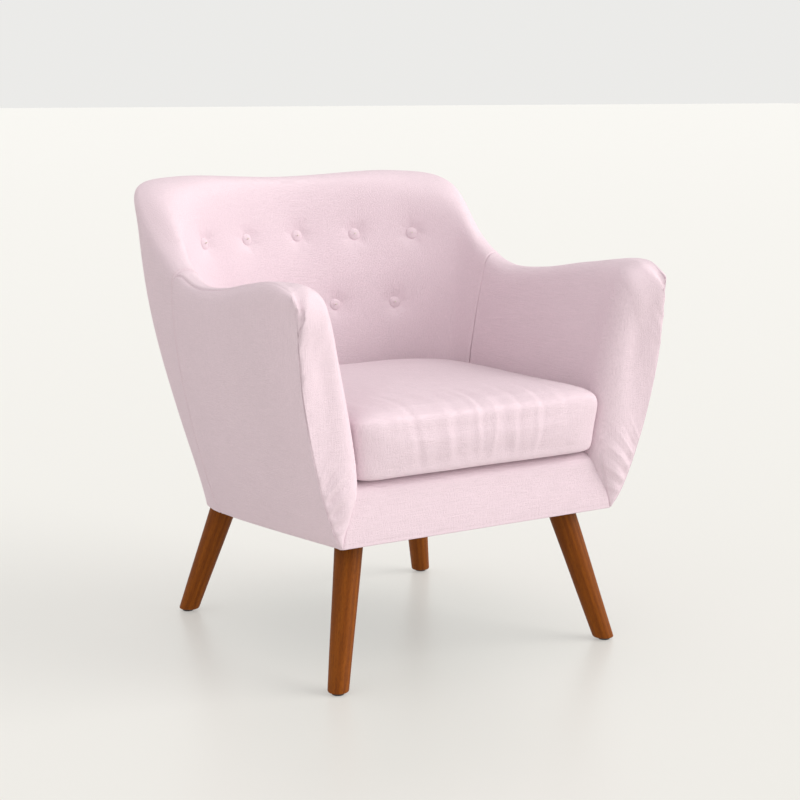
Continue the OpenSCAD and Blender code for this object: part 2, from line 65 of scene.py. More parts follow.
def top_seam(u):
    """Where the outside arm panel ends: close to the ridge along the arm, turning down in a curve at both ends."""
    u = np.asarray(u, float)
    f = np.clip(1 - u / 0.30, 0, 1)
    g = np.clip(1 - (SEAM_U - u) / 0.20, 0, 1)
    return 1.66 + 0.44 * (1 - np.sqrt(1 - f * f)) + 0.22 * (1 - np.sqrt(1 - g * g))


def seam_u(s):
    """Where the arm joins the back: further back on the inside than on the outside."""
    return SEAM_U + 0.26 * step01((1.5 - s) / 1.2) - 0.10 * step01((s - 1.7) / 1.2)


def lean(u, s):
    """Moves the grid's columns so that the column SEAM_U follows the seam, on both sides."""
    k = seam_u(s)
    f = fold(u)
    v = np.where(f <= SEAM_U, f * k / SEAM_U, 8 - (8 - f) * (8 - k) / (8 - SEAM_U))
    return np.where(u > 8, 16 - v, v)


def fall(y):
    return 236.0 - 27.0 * np.maximum(0, y + 248) / 540


def station(a, u, m):
    a = np.asarray(a, float)
    n = len(a) - 1
    e = np.concatenate([[2 * a[0] - a[1]], a, [m * a[n - 1]]])
    i = np.minimum(np.floor(u).astype(int), n - 1)
    t = u - i
    p0, p1, p2, p3 = e[i], e[i + 1], e[i + 2], e[i + 3]
    return 0.5 * (2 * p1 + (p2 - p0) * t + (2 * p0 - 5 * p1 + 4 * p2 - p3) * t * t
                  + (3 * p1 - p0 - 3 * p2 + p3) * t ** 3)


def side(u):
    return np.where(u > 8, -1.0, 1.0)


def fold(u):
    return np.where(u > 8, 16 - u, u)


def row_x(a, u):
    return side(u) * station(a, fold(u), -1)


def row_y(a, u):
    return station(a, fold(u), 1)


def step01(x):
    t = np.clip(x, 0, 1)
    return t * t * (3 - 2 * t)


def mix(a, b, t):
    return a + (b - a) * t


def vec(x, y, z):
    return np.stack(np.broadcast_arrays(x, y, z), -1)


def outer_pt(u, w):
    s = np.sin(np.pi / 2 * np.clip(w, 0, 1))
    k = mix(s ** 0.75, s ** 1.15, step01((fold(u) - 3.5) / 2))
    e = mix(k, w, step01((fold(u) - 4) / 3))
    y0 = row_y(LOWER[1], u)
    return vec(mix(row_x(LOWER[0], u), row_x(OUTER[0], u), k), mix(y0, row_y(OUTER[1], u), e),
               mix(fall(y0), row_y(RIDGE[2], u) - SHOULDER, w))


def inner_pt(u, w):
    w = np.clip(w, 0, 1)
    return vec(mix(row_x(DECK[0], u), row_x(INNER[0], u), w ** 1.25),
               mix(row_y(DECK[1], u), row_y(INNER[1], u), w), mix(DECK_Z - 1, row_y(RIDGE[2], u) - SHOULDER, w))


def arch_pt(u, a):
    a = np.clip(a, 0, 1)
    o, i = outer_pt(u, 1 + 0 * a), inner_pt(u, 1 + 0 * a)
    m = (o + i) / 2
    r = vec(row_x(RIDGE[0], u), row_y(RIDGE[1], u), row_y(RIDGE[2], u))
    return m + (o - m) * np.cos(np.pi * a)[..., None] + (r - m) * (np.abs(np.sin(np.pi * a)) ** 0.85)[..., None]


def wall(u, s):
    u, s = np.broadcast_arrays(np.asarray(u, float), np.asarray(s, float))
    out = np.where((s > 1)[..., None], arch_pt(u, 2 - s), inner_pt(u, s))
    return np.where((s > 2)[..., None], outer_pt(u, 3 - s), out)


def rail_edge(s):
    """The curved edge between the arm's front and the front rail, for s from -1 at the foot to 0 at the deck."""
    z = 0 * s
    return mix(outer_pt(z, z), inner_pt(z, z), (step01(1 + s) * 0.35 + (1 + s) * 0.65)[..., None])


def leaf(s, c):
    """The arm's front: s runs from the foot to the top corner, c from the outer crease to the inner edge."""
    s, c = np.broadcast_arrays(np.asarray(s, float), np.asarray(c, float))
    v = (1 + s) / (1 + ARM_TOP)
    outer = outer_pt(0 * s, v * CREASE_W)
    inner = np.where((s < 0)[..., None], rail_edge(np.minimum(s, 0)), wall(0 * s, np.maximum(s, 0)))
    bulge = 15 * 4 * c * (1 - c) * np.sqrt(np.maximum(0, np.sin(np.pi * np.clip(v, 0, 1))))
    top = outer_pt(0 * s, mix(CREASE_W, 3 - ARM_TOP, c))
    body_ = mix(outer, inner, c[..., None]) - vec(0 * c, bulge, 0 * c)
    return mix(body_, top, step01((v - 0.97) / 0.03)[..., None])


# ------------------------------------------------------------------ smoothed base surfaces
def relax(p, rounds, loose=None):
    p = p.copy()
    for _ in range(rounds):
        q = p.copy()
        q[1:-1, 1:-1] = 0.5 * p[1:-1, 1:-1] + 0.125 * (p[:-2, 1:-1] + p[2:, 1:-1] + p[1:-1, :-2] + p[1:-1, 2:])
        p = q if loose is None else mix(p, q, loose[..., None])
    return p


class Base:
    """A smoothed grid of points, read at any (column, row) parameters."""

    def __init__(self, cols, rows, pts):
        self.cols, self.rows, self.pts = cols, rows, pts

    def points(self, u, s):
        """The surface at (u, s), which may be numbers or arrays, by bicubic interpolation."""
        fi = np.interp(s, self.rows, np.arange(len(self.rows)))
        fj = np.interp(u, self.cols, np.arange(len(self.cols)))
        p = np.concatenate([2 * self.pts[:1] - self.pts[1:2], self.pts, 2 * self.pts[-1:] - self.pts[-2:-1]])
        p = np.concatenate([2 * p[:, :1] - p[:, 1:2], p, 2 * p[:, -1:] - p[:, -2:-1]], axis=1)
        i = np.clip(np.floor(fi).astype(int), 0, len(self.rows) - 2)
        j = np.clip(np.floor(fj).astype(int), 0, len(self.cols) - 2)

        def weights(t):
            return (-0.5 * t + t * t - 0.5 * t ** 3, 1 - 2.5 * t * t + 1.5 * t ** 3,
                    0.5 * t + 2 * t * t - 1.5 * t ** 3, -0.5 * t * t + 0.5 * t ** 3)

        wi, wj = weights(fi - i), weights(fj - j)
        return sum((wi[a] * wj[b])[..., None] * p[i + a, j + b] for a in range(4) for b in range(4))


S_ROWS = np.concatenate([np.linspace(0, 1, 101)[:-1], np.linspace(1, 2, 31)[:-1], np.linspace(2, 3, 116)])
U_COLS = np.linspace(0, 16, 481)
# The two shoulders of the top roll are eased far more than its ridge, which keeps its place and height.
EASE = np.exp(-((S_ROWS - 0.98) / 0.26) ** 2) + 0.95 * np.exp(-((S_ROWS - 2.02) / 0.30) ** 2)
EASE = np.clip(EASE[:, None] + 0 * U_COLS[None, :], 0.02, 1) * np.where(abs(S_ROWS - 1.5) < 0.12, 0.15, 1)[:, None]
body_base = Base(U_COLS, S_ROWS, relax(relax(wall(U_COLS[None, :], S_ROWS[:, None]), 8), 150, EASE))

# The arm: columns q 0..1 run across the leaf-shaped front, and then u = q - 1 runs back along the arm.
# Rows s run from -1 at the foot, past 0 at the deck, to the seam with the outside panel at ARM_TOP.
A_ROWS = np.concatenate([np.linspace(-1, 0, 36)[:-1], np.linspace(0, 1, 91)[:-1], np.linspace(1, ARM_TOP, 33)])
A_COLS = np.concatenate([np.linspace(0, 1, 25)[:-1], 1 + np.linspace(0, SEAM_U, 137)])


def arm_raw():
    q, s = np.meshgrid(A_COLS, A_ROWS)
    u = np.maximum(q - 1, 0)
    up = np.where(s > 1, 1 + (s - 1) * (top_seam(u) - 1) / (ARM_TOP - 1), np.maximum(s, 0))
    body = body_base.points(lean(u, up), up) + vec(0 * s, 0 * s, TUCK * np.minimum(s, 0))
    low = mix(rail_edge(np.minimum(s, 0)), body, step01(u / 0.5)[..., None])
    p = np.where((q <= 1)[..., None], leaf(s, np.clip(q, 0, 1)), np.where((s < 0)[..., None], low, body))
    settled = step01((u - 1.1) / 1.2) * np.where(s < 0, 0, 1)
    p = mix(relax(p, 240), body, settled[..., None])
    # give the rounded front back the fullness that easing took from it
    a, b = arcs(p)
    ridge = b[:, np.argmin(abs(A_COLS - 1.02))][:, None]
    full = 15.0 * np.exp(-(np.abs(b - ridge) / 46) ** 2.4) * step01((s + 0.95) / 0.9)
    full *= 1 + 0.35 * np.exp(-((s - 1.15) / 0.25) ** 2)
    full *= step01(b / 34) * step01((a[-1:] - a) / 30)
    return p + normals(p, True) * full[..., None]


# ------------------------------------------------------------------ helpers for pieces
def metres(p):
    return (p - np.array([0, Y_MID, 0])) * 0.001


def unit(v):
    return v / np.linalg.norm(v, axis=-1, keepdims=True)


def normals(p, flip):
    du = np.gradient(p, axis=1)
    ds = np.gradient(p, axis=0)
    n = np.cross(du, ds)
    l = np.linalg.norm(n, axis=-1, keepdims=True)
    n = np.where(l > 1e-6, n / np.maximum(l, 1e-9), 0)
    m = p.shape[0]
    for i, j in [(i, i - 1) for i in range(1, m)] + [(i, i + 1) for i in range(m - 2, -1, -1)]:
        bad = np.linalg.norm(n[i], axis=-1) < 0.5
        n[i][bad] = n[j][bad]
    return -n if flip else n


def arcs(p):
    """Distance along each grid line, in mm: (along the rows' direction, along the columns' direction)."""
    a = np.zeros(p.shape[:2])
    a[1:] = np.cumsum(np.linalg.norm(np.diff(p, axis=0), axis=-1), axis=0)
    b = np.zeros(p.shape[:2])
    b[:, 1:] = np.cumsum(np.linalg.norm(np.diff(p, axis=1), axis=-1), axis=1)
    return a, b


arm_base = Base(A_COLS, A_ROWS, arm_raw())


def lines(lo, hi, step, seams, scale):
    """Parameters from lo to hi, closer together beside each seam; scale is mm per unit."""
    base = np.linspace(lo, hi, max(3, int(round((hi - lo) * scale / step)) + 1))
    extra = [np.array(seams, float)]
    for s in seams:
        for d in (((1.2, 2.6, 4.4))):
            extra += [np.array([s - d / scale, s + d / scale])]
    x = np.concatenate([base, *extra])
    x = np.unique(np.round(x[(x >= lo - 1e-9) & (x <= hi + 1e-9)], 6))
    keep = [x[0]]
    for v in x[1:]:
        must = min(abs(v - s) for s in [*seams, hi]) < 1e-5
        if v - keep[-1] > 0.9 / scale:
            keep.append(v)
        elif must:
            keep[-1] = v if abs(keep[-1] - lo) > 1e-6 else keep[-1]
    return np.array(keep)


def hash3(i, j, k, seed):
    h = (i * 374761393 + j * 668265263 + k * 2147483647 + seed * 1274126177) & 0xFFFFFFFF
    h = ((h ^ (h >> 13)) * 1274126177) & 0xFFFFFFFF
    return ((h ^ (h >> 16)) & 0xFFFF) / 32767.5 - 1


def noise(p, size, seed):
    """Smooth value noise of about -1..1 at points p (mm), with lumps of about size mm (a number or one per axis)."""
    q = p / np.asarray(size, float) + 517.3
    i = np.floor(q).astype(np.int64)
    f = q - i
    f = f * f * (3 - 2 * f)
    out = 0
    for d in np.ndindex(2, 2, 2):
        w = np.prod([f[..., a] if d[a] else 1 - f[..., a] for a in range(3)], axis=0)
        out = out + w * hash3(*[i[..., a] + d[a] for a in range(3)], seed)
    return out


def loft_noise(p):
    return 0.7 * noise(p, 95, 3) + 0.3 * noise(p, 38, 5)


def add_object(name, data):
    ob = bpy.data.objects.new(name, data)
    bpy.context.scene.collection.objects.link(ob)
    return ob


def rings_to_faces(count, m, base=0, closed=False, caps=True):
    """Quads between rings of m vertices each, with a face over the first and the last ring."""
    faces = []
    for i in range(count if closed else count - 1):
        a, b = base + i * m, base + (i + 1) % count * m
        faces += [[a + j, a + (j + 1) % m, b + (j + 1) % m, b + j] for j in range(m)]
    if caps and not closed:
        faces += [[base + j for j in range(m - 1, -1, -1)], [base + (count - 1) * m + j for j in range(m)]]
    return faces


def ring_ease(p, rounds):
    for _ in range(rounds):
        p = 0.5 * p + 0.25 * (np.roll(p, 1, axis=0) + np.roll(p, -1, axis=0))
    return p


def make_mesh(name, verts, faces, merge=0.0):
    me = bpy.data.meshes.new(name)
    me.from_pydata([tuple(v) for v in verts], [], [tuple(int(i) for i in f) for f in faces])
    me.validate()
    bm = bmesh.new()
    bm.from_mesh(me)
    if merge:
        bmesh.ops.remove_doubles(bm, verts=bm.verts, dist=merge)
        bmesh.ops.dissolve_degenerate(bm, edges=bm.edges, dist=1e-7)
    loose = [v for v in bm.verts if not v.link_faces]
    if loose:
        bmesh.ops.delete(bm, geom=loose, context="VERTS")
    bmesh.ops.recalc_face_normals(bm, faces=bm.faces)
    bm.to_mesh(me)
    bm.free()
    me.polygons.foreach_set("use_smooth", [True] * len(me.polygons))
    return add_object(name, me)


def shell(name, p, n, keep=None, mirror=False):
    """A closed cloth shell: the grid p (mm) and the same grid sunk by CLOTH, joined along every open edge."""
    if mirror:
        p, n = mirrored(p), mirrored(n)
    m, k = p.shape[:2]
    idx = np.arange(m * k).reshape(m, k)
    q = np.stack([idx[:-1, :-1], idx[:-1, 1:], idx[1:, 1:], idx[1:, :-1]], -1)
    if keep is not None:
        q = q[keep]
    q = q.reshape(-1, 4)
    big = m * k
    e = np.stack([q, np.roll(q, -1, axis=1)], -1).reshape(-1, 2)
    key, rev = e[:, 0] * big + e[:, 1], e[:, 1] * big + e[:, 0]
    rim = e[~np.isin(key, rev)]
    sides = np.stack([rim[:, 1], rim[:, 0], rim[:, 0] + big, rim[:, 1] + big], -1)
    faces = np.concatenate([q, q[:, ::-1] + big, sides])
    verts = metres(np.concatenate([p.reshape(-1, 3), (p - n * CLOTH).reshape(-1, 3)]))
    return make_mesh(name, verts, faces, 2e-5)


def mirrored(p):
    return p * np.array([-1, 1, 1])


def dress(ob, body, mat, replaced=()):
    ob.data.materials.clear()
    ob.data.materials.append(mat)
    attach(ob, body)
    if replaced:
        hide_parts(*replaced)
    return ob


def groove(d, depth=1.5, width=1.7):
    """The dip of a seam at distance d, with the slight swell of the padding beside it."""
    return -depth * np.exp(-(d / width) ** 2) + 0.3 * depth * np.exp(-((d - 6.0) / 4.5) ** 2)


# ------------------------------------------------------------------ materials
class Net:
    """A material, and a short way to write its nodes."""

    def __init__(self, name):
        self.mat = bpy.data.materials.new(name)
        self.mat.use_nodes = True
        self.nt = self.mat.node_tree
        self.bsdf = self.nt.nodes["Principled BSDF"]

    def node(self, kind, out=0, inputs=None, **kw):
        n = self.nt.nodes.new(kind)
        for k, v in kw.items():
            setattr(n, k, v)
        for name, value in (inputs or {}).items():
            self.put(n, name, value)
        return n.outputs[out]

    def put(self, n, name, value):
        if isinstance(value, bpy.types.NodeSocket):
            self.nt.links.new(value, n.inputs[name])
        else:
            n.inputs[name].default_value = value

    def surface(self, **values):
        for name, value in values.items():
            self.put(self.bsdf, name.replace("_", " "), value)

    def coord(self, kind="Object"):
        return self.node("ShaderNodeTexCoord", kind)

    def math(self, op, a, b=0.0, c=0.0):
        return self.node("ShaderNodeMath", inputs={0: a, 1: b, 2: c}, operation=op)

    def vector(self, op, **inputs):
        inputs = {int(k[1:]) if k[0] == "_" else k: v for k, v in inputs.items()}
        return self.node("ShaderNodeVectorMath", inputs=inputs, operation=op)

    def noise(self, at, scale, detail=2.0, rough=0.5, out="Fac"):
        return self.node("ShaderNodeTexNoise", out,
                         {"Vector": at, "Scale": scale, "Detail": detail, "Roughness": rough})

    def mapping(self, at, scale=(1, 1, 1), loc=(0, 0, 0), rot=(0, 0, 0)):
        return self.node("ShaderNodeMapping",
                         inputs={"Vector": at, "Scale": scale, "Location": loc, "Rotation": rot})

    def axes(self, at):
        n = self.nt.nodes.new("ShaderNodeSeparateXYZ")
        self.put(n, 0, at)
        return n.outputs

    def scaled(self, col, by):
        return self.vector("SCALE", _0=col, Scale=by)

    def bump(self, height, strength, distance):
        self.surface(Normal=self.node("ShaderNodeBump", inputs={
            "Height": height, "Strength": strength, "Distance": distance}))

    def ramp(self, fac, stops):
        n = self.nt.nodes.new("ShaderNodeValToRGB")
        self.put(n, "Fac", fac)
        el = n.color_ramp.elements
        while len(el) > 1:
            el.remove(el[-1])
        el[0].position, el[0].color = stops[0][0], (*stops[0][1], 1)
        for pos, col in stops[1:]:
            el.new(pos).color = (*col, 1)
        return n.outputs["Color"]


def weave_mat(name, base, pitch, thread_bump, rough=0.92, sheen=0.12):
    """A plain weave on any face: threads run along the two object axes that lie closest to the surface."""
    g = Net(name)
    at, nor = g.coord(), g.axes(g.coord("Normal"))
    warp = g.noise(at, 22.0, out="Color")
    moved = g.vector("MULTIPLY_ADD", _0=warp, _1=(0.0022, 0.0022, 0.0022), _2=at)
    sep = g.axes(moved)
    wave, wgt = [], []
    for i in range(3):
        wave.append(g.math("SINE", g.math("MULTIPLY", sep[i], 2 * math.pi / pitch)))
        a = g.math("ABSOLUTE", nor[i])
        wgt.append(g.math("MULTIPLY", a, g.math("MULTIPLY", a, a)))
    total = g.math("ADD", g.math("ADD", wgt[0], wgt[1]), g.math("ADD", wgt[2], 1e-4))
    weave = 0.0
    for i, (a, b) in enumerate(((1, 2), (0, 2), (0, 1))):
        weave = g.math("MULTIPLY_ADD", g.math("MULTIPLY", wave[a], wave[b]), wgt[i], weave)
    weave = g.math("DIVIDE", weave, total)
    # slubs: short thicker lengths of thread along each axis, seen where that axis lies in the surface
    slubs = 0.0
    for i, sc in enumerate(((30, 900, 900), (900, 30, 900), (900, 900, 26))):
        n = g.noise(g.mapping(moved, scale=sc), 1.0, 1.0)
        flat = g.math("SUBTRACT", 1.0, g.math("MULTIPLY", nor[i], nor[i]))
        slubs = g.math("MULTIPLY_ADD", g.math("SUBTRACT", n, 0.5), flat, slubs)
    fuzz, broad = g.noise(at, 1400.0, 1.0), g.noise(at, 6.0, 3.0)
    tone = g.math("MULTIPLY_ADD", slubs, 0.128, 1.0)
    tone = g.math("MULTIPLY_ADD", weave, 0.055, tone)
    tone = g.math("MULTIPLY_ADD", g.math("SUBTRACT", fuzz, 0.5), 0.10, tone)
    tone = g.math("MULTIPLY_ADD", g.math("SUBTRACT", broad, 0.5), 0.05, tone)
    g.surface(Base_Color=g.scaled(base, tone), Roughness=rough, Sheen_Weight=sheen, Sheen_Roughness=0.45,
              Sheen_Tint=(1, 0.93, 0.95, 1), Specular_IOR_Level=0.2)
    h = g.math("MULTIPLY_ADD", weave, 0.5, g.math("MULTIPLY", slubs, 1.8))
    g.bump(g.math("MULTIPLY_ADD", fuzz, 0.35, h), 1.0, thread_bump)
    return g.mat


def wood_mat(name, dark, mid, light, rough=0.46, coat=0.02, turn=(0, 0, 0), shift=(0, 0, 0)):
    """Grain runs along Z after the turn, so that a leaning leg has it lengthwise."""
    g = Net(name)
    moved = g.mapping(g.coord(), rot=turn, loc=shift)
    warp = g.noise(g.mapping(moved, scale=(14, 14, 2.2)), 1.0, 3.0)
    bend = g.node("ShaderNodeCombineXYZ", inputs={0: warp, 1: warp, 2: 0.0})
    at = g.vector("MULTIPLY_ADD", _0=bend, _1=(0.02, 0.014, 0), _2=moved)
    rings = g.math("SINE", g.math("MULTIPLY", g.axes(at)[0], 620.0))
    streak = g.noise(g.mapping(at, scale=(420, 420, 9)), 1.0, 3.0, 0.6)
    fine = g.noise(g.mapping(at, scale=(1500, 1500, 26)), 1.0, 2.0)
    pores = g.noise(g.mapping(at, scale=(2600, 2600, 110)), 1.0, 0.0)
    f = g.math("MULTIPLY_ADD", rings, 0.10, 0.1)
    f = g.math("MULTIPLY_ADD", streak, 0.55, f)
    f = g.math("MULTIPLY_ADD", fine, 0.28, f)
    col = g.ramp(f, [(0.22, dark), (0.5, mid), (0.8, light)])
    pore = g.math("MULTIPLY", g.math("GREATER_THAN", pores, 0.66), 0.35)
    g.surface(Base_Color=g.scaled(col, g.math("SUBTRACT", 1.0, pore)), Specular_IOR_Level=0.09, Coat_Weight=coat,
              Coat_Roughness=0.3, Roughness=g.math("MULTIPLY_ADD", streak, 0.16, rough - 0.06))
    g.bump(g.math("SUBTRACT", fine, pore), 0.5, 0.0003)
    return g.mat


def plain_mat(name, col, rough, metal=0.0, scale=300.0, depth=0.0002, vary=0.15):
    g = Net(name)
    f = g.noise(g.coord(), scale, 3.0)
    tone = g.math("MULTIPLY_ADD", g.math("SUBTRACT", f, 0.5), 2 * vary, 1.0)
    g.surface(Base_Color=g.scaled(col, tone), Roughness=g.math("MULTIPLY_ADD", f, 0.2, rough - 0.1), Metallic=metal)
    g.bump(f, 0.6, depth)
    return g.mat


PINK = (0.80, 0.645, 0.705)
fabric = weave_mat("blush_linen_weave", PINK, 0.0016, 0.00045)
thread = plain_mat("sewing_thread", (0.74, 0.56, 0.61), 0.7, scale=1800.0, depth=0.0001)
deck_mat = weave_mat("deck_plain_weave", (0.66, 0.50, 0.54), 0.0011, 0.0002)
dust_mat = weave_mat("dust_cover_cloth", (0.018, 0.018, 0.02), 0.0022, 0.0003, sheen=0.1)
tape_mat = weave_mat("zip_tape_weave", (0.70, 0.55, 0.59), 0.0007, 0.0001)
STAIN = ((0.135, 0.032, 0.003), (0.20, 0.051, 0.004), (0.265, 0.074, 0.006))
timber_mat = wood_mat("frame_softwood", (0.36, 0.22, 0.11), (0.52, 0.36, 0.20), (0.64, 0.47, 0.29), 0.7, 0.0)
foam_mat = plain_mat("foam_cells", (0.80, 0.72, 0.50), 0.95, scale=700.0, depth=0.0006)
web_mat = weave_mat("webbing_weave", (0.12, 0.07, 0.045), 0.004, 0.0006)
glide_mat = plain_mat("glide_plastic", (0.013, 0.013, 0.014), 0.45, scale=900.0, depth=0.00008)
zinc_mat = plain_mat("zinc_plate", (0.60, 0.60, 0.62), 0.35, metal=1.0, scale=240.0, depth=0.00005, vary=0.08)
twine_mat = plain_mat("twine_fibre", (0.72, 0.66, 0.58), 0.9, scale=1500.0, depth=0.0003)

# ------------------------------------------------------------------ buttons: places on the padded surface
ROW_HIGH, ROW_LOW, SPACING = 673, 545, 114


def seek(x, z):
    """The body's (u, s) at x and z on the inside, by bisection on u."""
    lo, hi = 5.0, 11.0
    for _ in range(24):
        u = np.array((lo + hi) / 2)
        w = (z - DECK_Z + 1) / (row_y(RIDGE[2], u) - SHOULDER - DECK_Z + 1)
        if inner_pt(u, w)[0] > x:
            lo = float(u)
        else:
            hi = float(u)
    return float(u), float(w)


BUTTONS = []
for k, z in [(k, ROW_HIGH) for k in (-2, -1, 0, 1, 2)] + [(k, ROW_LOW) for k in (-1.5, -0.5, 0.5, 1.5)]:
    u, w = seek((0.955 if abs(k) == 2 else 1) * k * SPACING, z)
    p = body_base.points(u, w)
    n = unit(np.cross(body_base.points(u + 0.05, w) - p, body_base.points(u, w + 0.02) - p))
    BUTTONS.append((p, -n if n[1] > 0 else n))


def button_axes(n):
    """Across and up in the surface whose normal is n."""
    across = unit(np.cross([0, 0, 1.0], n))
    return across, np.cross(n, across)


def tufts(p):
    """How far the padding is drawn in round each button, in mm, with small pleats that run out from it."""
    out = np.zeros(p.shape[:-1])
    for k, (c, n) in enumerate(BUTTONS):
        d = p - c
        across, up = button_axes(n)
        x, y = d @ across, d @ up
        r = np.hypot(x, y) + 1e-6
        th = np.arctan2(y, x)
        near = np.abs(d @ n) < 60
        out += near * (-6.0 * np.exp(-(r / 18.0) ** 2) - 4.0 * np.exp(-(r / 40.0) ** 2))
        fan = 0.55 * np.cos(7 * th + k) + 0.45 * np.cos(4 * th + 2.1 * k)
        out += near * fan * 0.8 * np.exp(-((r - 19) / 8.0) ** 2)
    return out


# ------------------------------------------------------------------ body covers
STEP = 4.0            # mm between grid lines
INNER_MM, OVER_MM, OUTER_MM = 440, 110, 560   # mm per row up the inside, over the top and down the outside


def cover_grid(us, *rows):
    """The body's points, outward normals and distances at the given columns and rows."""
    ss = np.unique(np.concatenate(rows))
    U, S = np.meshgrid(us, ss)
    p = body_base.points(lean(U, S), S)
    return ss, S, p, normals(p, True), *arcs(p)


def sides(b):
    return np.minimum(b, b[:, -1:] - b)


def inside_back():
    us = lines(SEAM_U, 16 - SEAM_U, STEP, [SEAM_U, BACK_U, 16 - BACK_U, 16 - SEAM_U], BACK_MM)
    ss, S, p, n, a, b = cover_grid(us, lines(0, 1, STEP, [0], INNER_MM), lines(1, 2, STEP * 0.7, [TOP_S], OVER_MM),
                                   lines(2, 3, STEP, [3], OUTER_MM))
    j0, j1 = np.argmin(abs(us - BACK_U)), np.argmin(abs(us - 16 + BACK_U))
    it = np.argmin(abs(ss - TOP_S))
    d = sides(b)
    d = np.where(S >= TOP_S - 1e-6, np.minimum(d, np.minimum(abs(b - b[:, j0:j0 + 1]), abs(b - b[:, j1:j1 + 1]))), d)
    mid = (us > BACK_U + 1e-6) & (us < 16 - BACK_U - 1e-6)
    d = np.where(mid[None, :], np.minimum(d, abs(a - a[it:it + 1])), d)
    for corner in (p[it, j0], p[it, j1]):
        d = np.minimum(d, np.linalg.norm(p - corner, axis=-1))
    h = groove(d) + tufts(p) * step01((1.15 - S) / 0.3) + 0.5 * loft_noise(p)
    # padding crown between the tufts, and pull lines down to the deck
    h += 1.2 * np.sin(np.pi * np.clip(S, 0, 1)) * step01((2.2 - S))
    h += 0.5 * noise(p, (16, 16, 120), 21) * np.exp(-((S - 0.05) / 0.28) ** 2)
    keep = (ss[:-1, None] < TOP_S - 1e-6) | (us[None, :-1] < BACK_U - 1e-6) | (us[None, :-1] > 16 - BACK_U - 1e-6)
    return shell("inside_back", p + n * h[..., None], n, keep)


def outside_back():
    us = lines(BACK_U, 16 - BACK_U, STEP, [BACK_U, 16 - BACK_U], BACK_MM)
    _, _, p, n, a, b = cover_grid(us, lines(TOP_S, 2, STEP * 0.7, [TOP_S], OVER_MM), lines(2, 3, STEP, [3], OUTER_MM))
    d = np.minimum(sides(b), np.minimum(a, a[-1:] - a + 3))
    h = groove(d) + 0.8 * loft_noise(p)
    return shell("outside_back", p + n * h[..., None], n)


def crease_normals(n, b):
    """Turns the normals beside the front crease to one shared direction, so that both covers' edges meet there."""
    shared = np.array([0.75, -0.66, 0.0])
    return unit(mix(shared, n, step01(b / 6)[..., None]))


def outside_arm(mirror):
    us = lines(0, SEAM_U, STEP, [0, SEAM_U], ARM_MM)
    ss = np.unique(np.concatenate([lines(TOP_S, 2, STEP * 0.7, [TOP_S], OVER_MM), lines(2, 3, STEP, [3], 520)]))
    U, S = np.meshgrid(us, ss)
    S = 3 - (3 - S) * (3 - top_seam(U)) / (3 - TOP_S)
    p = body_base.points(lean(U, S), S)
    n = normals(p, True)
    a, b = arcs(p)
    n = crease_normals(n, b)
    d = np.minimum(sides(b), a)
    h = groove(d, 1.6, 2.0) + 0.7 * loft_noise(p + (900 if mirror else 0)) * step01(b / 9)
    # a few faint tension lines from the front top corner
    e = np.linalg.norm(p - p[0, 0], axis=-1)
    h += 0.25 * noise(p, (60, 60, 14), 9) * np.exp(-(e / 120) ** 2)
    return shell("outside_arm_" + ("left" if mirror else "right"), p + n * h[..., None], n, mirror=mirror)


def inside_arm(mirror):
    qs = np.concatenate([lines(0, 1, STEP * 0.6, [0], LEAF_MM), 1 + lines(0, SEAM_U, STEP, [SEAM_U], ARM_MM),
                         1 + np.array([0.008, 0.02])])
    qs = np.unique(np.round(qs, 6))
    ss = np.unique(np.concatenate([lines(-1, 0, STEP, [-1], 110), lines(0, 1, STEP, [0], 330),
                                   lines(1, ARM_TOP, STEP * 0.7, [ARM_TOP], 120)]))
    Q, S = np.meshgrid(qs, ss)
    p = arm_base.points(Q, S)
    n = normals(p, True)
    a, b = arcs(p)
    top = a[-1:] - a
    n = crease_normals(n, np.minimum(b, np.where(Q <= 1, top, np.hypot(top, (Q - 1) * ARM_MM))))
    d = np.minimum(sides(b), top)
    # the leaf's inner edge below the deck is a seam too
    fold_edge = np.where((S < 0) & (Q <= 1), abs(b - b[:, np.argmin(abs(qs - 1))][:, None]), 99)
    h = groove(d, 1.6, 2.0) + groove(fold_edge, 0.9, 1.8)
    h += 0.5 * loft_noise(p + (700 if mirror else 0)) * step01(d / 9)
    # wrinkles on the leaf: short diagonal pulls from the outer seam, stronger near the tip
    x, z = np.where(Q <= 1.3, np.minimum(b, top), b), p[..., 2]
    front_ = step01((1.45 - Q) / 0.45)
    for zc, amp, length, tilt, width in WRINKLES:
        line = z - (zc + tilt * x)
        h += front_ * 1.35 * amp * np.exp(-(line / width) ** 2) * np.exp(-(x / length) ** 2) * step01(x / 9.0)
    h += front_ * 0.25 * noise(p, (40, 40, 9), 31 + mirror) * step01(x / 4.0) * np.exp(-((z - 300) / 90) ** 2)
    # the cover is drawn over the inner edge of the arm front, with soft vertical pulls below the arm top
    h += 0.35 * noise(p, (30, 30, 110), 41 + mirror) * step01((S - 0.2) / 0.4) * step01((1.6 - S) / 0.4)
    return shell("inside_arm_" + ("left" if mirror else "right"), p + n * h[..., None], n, mirror=mirror)


